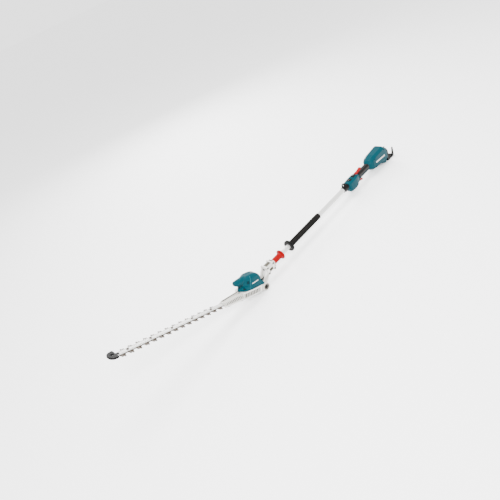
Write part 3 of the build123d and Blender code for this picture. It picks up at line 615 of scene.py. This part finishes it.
# ---- pole -----------------------------------------------------------------------------------
def ring_of_bars(name, count, radius, height, width, x_low, x_high, material, body):
    """Rounded bars lying along a cylinder about the pole's axis."""
    verts, faces = [], []
    for number in range(count):
        angle = 2 * math.pi * number / count
        out = Vector((0, math.cos(angle), math.sin(angle)))
        across = Vector((0, -math.sin(angle), math.cos(angle)))
        loops = []
        for x, rise in ((x_low, 0.2), (x_low + 2.5, 1.0), (x_high - 2.5, 1.0), (x_high, 0.2)):
            base = tool(x, 0, 0)
            low = base + out * (radius - 0.6) * MM
            high = base + out * (radius + height * rise) * MM
            loops.append([low - across * width * MM, high - across * width * 0.55 * MM,
                          high + across * width * 0.55 * MM, low + across * width * MM])
        start = len(verts)
        for loop in loops:
            verts.extend(loop)
        for i in range(3):
            row = start + 4 * i
            for k in range(4):
                j = (k + 1) % 4
                faces.append((row + k, row + j, row + 4 + j, row + 4 + k))
        faces.append(tuple(start + k for k in range(4)))
        faces.append(tuple(start + 12 + k for k in range(4)))
    piece(name, verts, faces, material, body, bevel=0.2)


ABOVE_PANEL = 60.0
BUTTON_RING, RING_STEPS, RING_WIRE = 2.6, 24, 0.00035


def panel_details():
    """The teal bridge across the control panel, its four dark windows, and a plain ring on each button."""
    verts, faces = [], []
    loops = []
    for y in (-8.6, 8.6):
        loops.append([tool(799, y, 22.6), tool(813, y, 23.4), tool(812, y, 25.4), tool(800, y, 24.5)])
    add_prism(verts, faces, *loops)
    piece("panel_bridge", verts, faces, TEAL, "pole", bevel=0.4)
    shell = surface_of("housing_left", "housing_right", "control_panel")
    for place_name, low, high in (("front", 782.0, 799.0), ("rear", 813.0, 838.0)):
        for side, side_name in ((-1, "near"), (1, "far")):
            def window(u, v, low=low, high=high, side=side):
                return tool(low + (high - low) * u, side * (8.7 + 4.0 * v), ABOVE_PANEL)

            plate(f"panel_window_{place_name}_{side_name}", shell, window, 4, 5, Vector((0, 0, -1)),
                  LABEL_LIFT, BLACK, "pole")
    for body, x, top in (("power_button", 785.5, 23.6), ("mode_button", 829.0, 26.3)):
        turns = [2 * math.pi * k / RING_STEPS for k in range(RING_STEPS + 1)]
        path = [tool(x + BUTTON_RING * math.cos(turn), BUTTON_RING * math.sin(turn), top) for turn in turns]
        ring, ring_faces = tube_mesh(path, RING_WIRE, sides=8)
        piece(f"{body}_ring", ring, ring_faces, PALE, body, smooth=True)


HOUSING_OUTSIDE = 70.0
RAIL_OUTLINE = ((1144.2, -54), (1150.5, -54), (1150.5, -6), (1144.2, -3))
RAIL_Y = (23.8, 27.5)


def housing_details():
    """Plain labels on both sides of the battery end, and the teal covers on its battery rails."""
    shell = surface_of("housing_left", "housing_right")
    for side, name in ((-1, "near"), (1, "far")):
        toward = ACROSS * -side

        def label(u, v):
            return tool(1013 + 90 * u, side * HOUSING_OUTSIDE, -7.5 + 9 * v - 7 * u)

        plate(f"housing_plate_{name}", shell, label, 3, 18, toward, LABEL_LIFT, PALE, "pole")
        verts, faces = [], []
        add_prism(verts, faces, *[[tool(x, side * y, z) for x, z in RAIL_OUTLINE] for y in RAIL_Y])
        piece(f"rail_cover_{name}", verts, faces, TEAL, "pole", bevel=0.5)


# ---- floor, light and camera ------------------------------------------------------------------
FLOOR_REACH, FLOOR_DROP = 40.0, 0.001
WORLD_STRENGTH = 2.4
LAMPS = (("key", (-1.6, -2.2, 2.8), 1.2, 260), ("top", (0.6, 0.4, 3.0), 2.0, 150),
         ("rim", (1.2, 2.4, 1.6), 1.4, 90))


def studio():
    """A wide pale floor, an even white surround and three round lamps aimed at the middle of the tool."""
    mesh = bpy.data.meshes.new("floor")
    reach = FLOOR_REACH
    mesh.from_pydata([(-reach, -reach, 0), (reach, -reach, 0), (reach, reach, 0), (-reach, reach, 0)], [],
                     [(0, 1, 2, 3)])
    floor = bpy.data.objects.new("floor", mesh)
    floor.location.z = -FLOOR_DROP
    paint = bpy.data.materials.new("floor")
    paint.use_nodes = True
    paint.node_tree.nodes["Principled BSDF"].inputs["Base Color"].default_value = (0.95, 0.95, 0.95, 1)
    paint.node_tree.nodes["Principled BSDF"].inputs["Roughness"].default_value = 0.9
    mesh.materials.append(paint)
    bpy.context.collection.objects.link(floor)

    world = bpy.data.worlds.new("studio")
    world.use_nodes = True
    world.node_tree.nodes["Background"].inputs["Color"].default_value = (1, 1, 1, 1)
    world.node_tree.nodes["Background"].inputs["Strength"].default_value = WORLD_STRENGTH
    bpy.context.scene.world = world

    middle = Vector((0, 0, 0.12))
    for name, spot, size, power in LAMPS:
        light = bpy.data.lights.new(name, "AREA")
        light.shape = "DISK"
        light.size = size
        light.energy = power
        lamp = bpy.data.objects.new(name, light)
        lamp.location = spot
        lamp.rotation_euler = (middle - Vector(spot)).to_track_quat("-Z", "Y").to_euler()
        bpy.context.collection.objects.link(lamp)


def camera():
    """The photographer's place, ahead of the tool, to its side and above it, with the view rolled."""
    eye = tool(-897, -1406, 1288)
    forward = Vector((0.4515, 0.6943, -0.5604)).normalized()
    up = Vector((0.6227, 0.2046, 0.7552))
    right = forward.cross(up).normalized()
    up = right.cross(forward)
    lens = bpy.data.cameras.new("camera")
    lens.sensor_width = 36.0
    lens.lens = 32.4
    lens.clip_start = 0.05
    rig = bpy.data.objects.new("camera", lens)
    rig.matrix_world = Matrix.Translation(eye) @ Matrix((right, up, -forward)).transposed().to_4x4()
    bpy.context.collection.objects.link(rig)
    bpy.context.scene.camera = rig


dress_cad_nodes()
nose_ribs()
nose_rims()
nose_rib_shade()
case_ribs()
case_bands()
case_rib_shade()
motor_details()
chin_screw_shade()
bracket_details()
side_socket_shade()
bolt_socket_shade()
bar_shade_lines()
head_cable()
ring_of_bars("sleeve_ribs", count=16, radius=13.8, height=0.9, width=1.2, x_low=112, x_high=156, material=RED,
             body="lock_sleeve")
panel_details()
housing_details()
studio()
camera()
